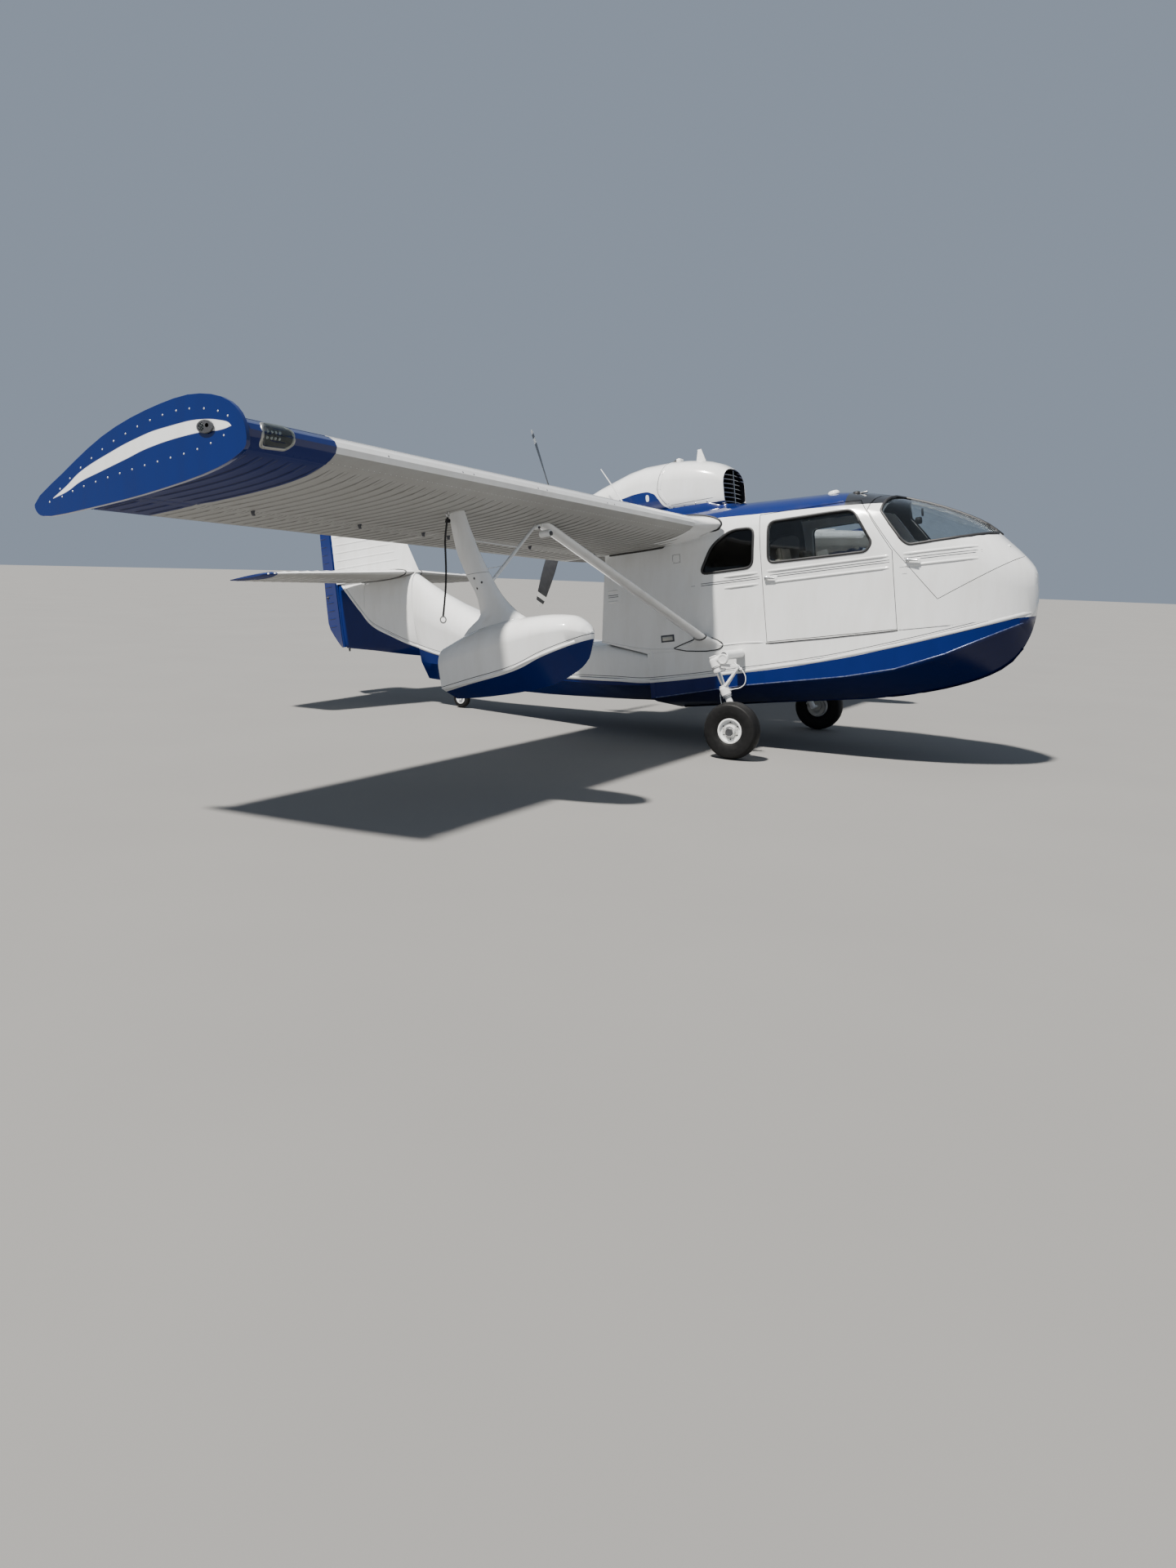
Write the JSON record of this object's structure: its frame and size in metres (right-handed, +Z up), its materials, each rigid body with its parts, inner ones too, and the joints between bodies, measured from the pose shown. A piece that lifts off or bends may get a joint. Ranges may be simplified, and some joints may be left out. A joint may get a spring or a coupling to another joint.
{
  "type": "flying boat",
  "caption": "Amphibian flying boat with stepped hull, high strut-braced wing, tip floats on pylons and a pusher propeller, standing on its wheels.",
  "frame": {"origin": "centre of the whole craft's footprint, on the ground that its wheels stand on", "axes": "+X towards the bow, +Y to port along the wing, +Z up from the ground, the craft parked tail low"},
  "size_m": [8.6045, 12.969, 3.1175],
  "materials": {
    "white_paint": "gloss white enamel",
    "blue_paint": "gloss royal blue enamel",
    "window": "clear acrylic",
    "dark_metal": "dark, matt",
    "blade_grey": "dark grey satin",
    "bright_steel": "bright steel and chrome",
    "tyre_black": "black rubber",
    "rope_black": "black braided rope",
    "rope_pale": "pale loop",
    "seat_cloth": "woven seat cloth",
    "panel_black": "matt black"
  },
  "bodies": {
    "airframe": {"hull_forebody": "white_paint", "hull_afterbody": "white_paint", "tail_cone": "white_paint", "cabin_shell": "white_paint", "cabin_roof": "blue_paint", "quarter_glass_R": "window", "quarter_glass_L": "window", "windscreen_glass": "window", "engine_pod": "white_paint", "engine_block": "dark_metal", "intake_grille": "dark_metal", "wing_R": "white_paint", "wing_L": "white_paint", "wing_end_plate_R": "blue_paint", "wing_end_plate_L": "blue_paint", "lift_strut_R": "white_paint", "lift_strut_L": "white_paint", "float_pylon_R": "white_paint", "float_pylon_L": "white_paint", "tip_float_R": "white_paint", "tip_float_L": "white_paint", "tie_down_ring_R": "bright_steel", "tie_down_ring_L": "bright_steel", "tie_down_rope": "rope_black", "rope_eye": "rope_pale", "fin": "white_paint", "tailplane": "white_paint", "gear_leg_R": "white_paint", "gear_leg_L": "white_paint", "gear_oleo_R": "bright_steel", "gear_oleo_L": "bright_steel", "front_seat_R": "seat_cloth", "front_seat_L": "seat_cloth", "rear_bench": "seat_cloth", "instrument_panel": "panel_black"},
    "propeller": {"propeller": "blade_grey"},
    "wheel_R": {"main_tyre_R": "tyre_black", "main_rim_R": "white_paint"},
    "wheel_L": {"main_tyre_L": "tyre_black", "main_rim_L": "white_paint"},
    "tail_castor": {"tail_fork": "white_paint"},
    "tail_wheel": {"tail_wheel": "tyre_black"},
    "door_R": {"cabin_door_R": "white_paint", "door_glass_R": "window"},
    "door_L": {"cabin_door_L": "white_paint", "door_glass_L": "window"},
    "bow_door": {"bow_door": "white_paint", "bow_door_glass": "window"},
    "rudder": {"rudder": "blue_paint"},
    "elevator": {"elevator": "white_paint"},
    "aileron_R": {"aileron_R": "white_paint"},
    "aileron_L": {"aileron_L": "white_paint"},
    "flap_R": {"flap_R": "white_paint"},
    "flap_L": {"flap_L": "white_paint"}
  },
  "joints": [
    {"name": "propeller_spin", "type": "hinge", "parent": "airframe", "child": "propeller", "pos_m": [-0.7043, 0, 2.1387], "axis": [0.9887, 0, 0.1496], "continuous": true},
    {"name": "wheel_R_spin", "type": "hinge", "parent": "airframe", "child": "wheel_R", "pos_m": [1.9577, -1.259, 0.267], "axis": [0, 1, 0], "continuous": true},
    {"name": "wheel_L_spin", "type": "hinge", "parent": "airframe", "child": "wheel_L", "pos_m": [1.9577, 1.259, 0.267], "axis": [0, 1, 0], "continuous": true},
    {"name": "tail_steer", "type": "hinge", "parent": "airframe", "child": "tail_castor", "pos_m": [-1.9723, 0, 0.27], "axis": [0, 0, 1], "range_deg": [-60, 60]},
    {"name": "tail_wheel_spin", "type": "hinge", "parent": "tail_castor", "child": "tail_wheel", "pos_m": [-2.0453, 0, 0.115], "axis": [0, 1, 0], "continuous": true},
    {"name": "door_R_hinge", "type": "hinge", "parent": "airframe", "child": "door_R", "pos_m": [3.1849, -0.697, 1.5814], "axis": [-0.1496, 0, 0.9887], "range_deg": [0, 75]},
    {"name": "door_L_hinge", "type": "hinge", "parent": "airframe", "child": "door_L", "pos_m": [3.1849, 0.697, 1.5814], "axis": [0.1496, 0, -0.9887], "range_deg": [0, 75]},
    {"name": "bow_door_hinge", "type": "hinge", "parent": "airframe", "child": "bow_door", "pos_m": [3.6374, -0.021, 2.2749], "axis": [-0.9259, 0, 0.3777], "range_deg": [0, 88]},
    {"name": "rudder_hinge", "type": "hinge", "parent": "airframe", "child": "rudder", "pos_m": [-4.0219, 0, 1.4718], "axis": [-0.1496, 0, 0.9887], "range_deg": [-25, 25]},
    {"name": "elevator_hinge", "type": "hinge", "parent": "airframe", "child": "elevator", "pos_m": [-3.5138, 0, 1.4698], "axis": [0, 1, 0], "range_deg": [-20, 25]},
    {"name": "aileron_R_hinge", "type": "hinge", "parent": "airframe", "child": "aileron_R", "pos_m": [0.1668, -4.8043, 2.0241], "axis": [0.0053, 0.9994, -0.035], "range_deg": [-20, 20]},
    {"name": "aileron_L_hinge", "type": "hinge", "parent": "airframe", "child": "aileron_L", "pos_m": [0.1668, 4.8043, 2.0241], "axis": [-0.0053, 0.9994, 0.035], "range_deg": [-20, 20]},
    {"name": "flap_R_hinge", "type": "hinge", "parent": "airframe", "child": "flap_R", "pos_m": [0.1812, -2.096, 1.9292], "axis": [-0.0053, -0.9994, 0.035], "range_deg": [0, 35]},
    {"name": "flap_L_hinge", "type": "hinge", "parent": "airframe", "child": "flap_L", "pos_m": [0.1812, 2.096, 1.9292], "axis": [0.0053, -0.9994, -0.035], "range_deg": [0, 35]}
  ],
  "couplings": [
    {"joint": "aileron_L_hinge", "follows": "aileron_R_hinge", "ratio": -1},
    {"joint": "flap_L_hinge", "follows": "flap_R_hinge", "ratio": 1}
  ]
}
